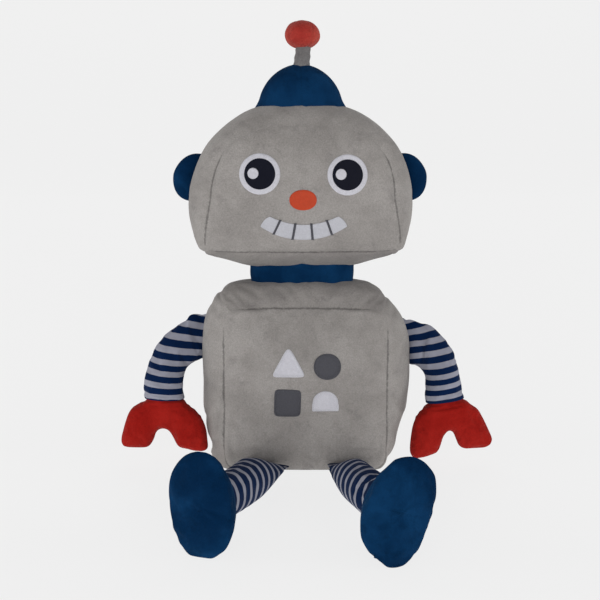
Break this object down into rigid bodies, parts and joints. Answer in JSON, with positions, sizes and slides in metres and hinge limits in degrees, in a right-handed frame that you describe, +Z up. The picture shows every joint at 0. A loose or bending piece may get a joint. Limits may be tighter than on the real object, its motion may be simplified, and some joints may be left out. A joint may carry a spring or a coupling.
{
  "type": "toy robot",
  "caption": "Seated stuffed plush robot with a boxy torso, D-shaped head, domed cap with a ball antenna, striped limbs, claw hands and slipper feet.",
  "frame": {"origin": "centre of the flat seat panel, on the surface the toy sits on", "axes": "+Z up from the seat; the toy faces -Y; its own left side is +X"},
  "size_m": [0.313, 0.289, 0.3656],
  "materials": {
    "grey_plush": "matte",
    "navy_plush": "matte",
    "red_plush": "matte",
    "striped_jersey": "matte",
    "white_stitching": "matte",
    "charcoal_stitching": "matte",
    "dark_stitching": "matte",
    "orange_stitching": "matte",
    "stuffing": "matte"
  },
  "bodies": {
    "torso": {"torso_base_panel": "grey_plush", "chest_panel": "grey_plush", "torso_back_panel": "grey_plush", "torso_left_panel": "grey_plush", "torso_right_panel": "grey_plush", "torso_top_panel": "grey_plush", "torso_filling": "stuffing", "patch_triangle": "white_stitching", "patch_circle": "charcoal_stitching", "patch_square": "charcoal_stitching", "patch_half_round": "white_stitching"},
    "neck": {"neck_band": "navy_plush", "neck_filling": "stuffing"},
    "head": {"face_panel": "grey_plush", "head_gusset": "grey_plush", "head_base_panel": "grey_plush", "head_back_panel": "grey_plush", "head_filling": "stuffing", "eye_left": "white_stitching", "eye_right": "white_stitching", "pupil_left": "dark_stitching", "pupil_right": "dark_stitching", "glint_left": "white_stitching", "glint_right": "white_stitching", "nose": "orange_stitching", "smile": "white_stitching", "tooth_stitches": "charcoal_stitching", "ear_left_cover": "navy_plush", "ear_right_cover": "navy_plush", "ear_left_filling": "stuffing", "ear_right_filling": "stuffing", "dome_left_panel": "navy_plush", "dome_right_panel": "navy_plush", "dome_filling": "stuffing"},
    "antenna": {"antenna_stem": "grey_plush", "antenna_ball_cover": "red_plush", "antenna_ball_filling": "stuffing"},
    "arm_left": {"arm_left_sleeve": "striped_jersey", "arm_left_filling": "stuffing", "hand_left_front": "red_plush", "hand_left_back": "red_plush", "hand_left_filling": "stuffing"},
    "leg_left": {"leg_left_sleeve": "striped_jersey", "leg_left_filling": "stuffing", "foot_left_sole": "navy_plush", "foot_left_upper": "navy_plush", "foot_left_filling": "stuffing"},
    "arm_right": {"arm_right_sleeve": "striped_jersey", "arm_right_filling": "stuffing", "hand_right_front": "red_plush", "hand_right_back": "red_plush", "hand_right_filling": "stuffing"},
    "leg_right": {"leg_right_sleeve": "striped_jersey", "leg_right_filling": "stuffing", "foot_right_sole": "navy_plush", "foot_right_upper": "navy_plush", "foot_right_filling": "stuffing"}
  },
  "joints": [
    {"name": "neck_turn", "type": "hinge", "parent": "torso", "child": "neck", "pos_m": [-0.0041, 0.02101, 0.14953], "axis": [0, 0.1392, 0.9903], "range_deg": [-18, 18], "stiffness_Nm_per_rad": 0.12},
    {"name": "head_nod", "type": "hinge", "parent": "neck", "child": "head", "pos_m": [-0.0041, 0.02185, 0.15547], "axis": [1, 0, 0], "range_deg": [-7, 7], "stiffness_Nm_per_rad": 1.2, "springref_deg": 0.69},
    {"name": "antenna_bend", "type": "hinge", "parent": "head", "child": "antenna", "pos_m": [-0.0032, 0.04733, 0.33679], "axis": [0, 0.9903, -0.1392], "range_deg": [-30, 30], "stiffness_Nm_per_rad": 0.02},
    {"name": "arm_left_raise", "type": "hinge", "parent": "torso", "child": "arm_left", "pos_m": [0.0902, 0.01371, 0.09754], "axis": [-1, 0, 0], "range_deg": [-4, 110]},
    {"name": "arm_right_raise", "type": "hinge", "parent": "torso", "child": "arm_right", "pos_m": [-0.0902, 0.01399, 0.09952], "axis": [-1, 0, 0], "range_deg": [-4, 110]},
    {"name": "leg_left_swing", "type": "hinge", "parent": "torso", "child": "leg_left", "pos_m": [0.0355, -0.051, 0.009], "axis": [-1, 0, 0], "range_deg": [-80, 60]},
    {"name": "leg_right_swing", "type": "hinge", "parent": "torso", "child": "leg_right", "pos_m": [-0.0315, -0.051, 0.009], "axis": [-1, 0, 0], "range_deg": [-80, 60]}
  ]
}
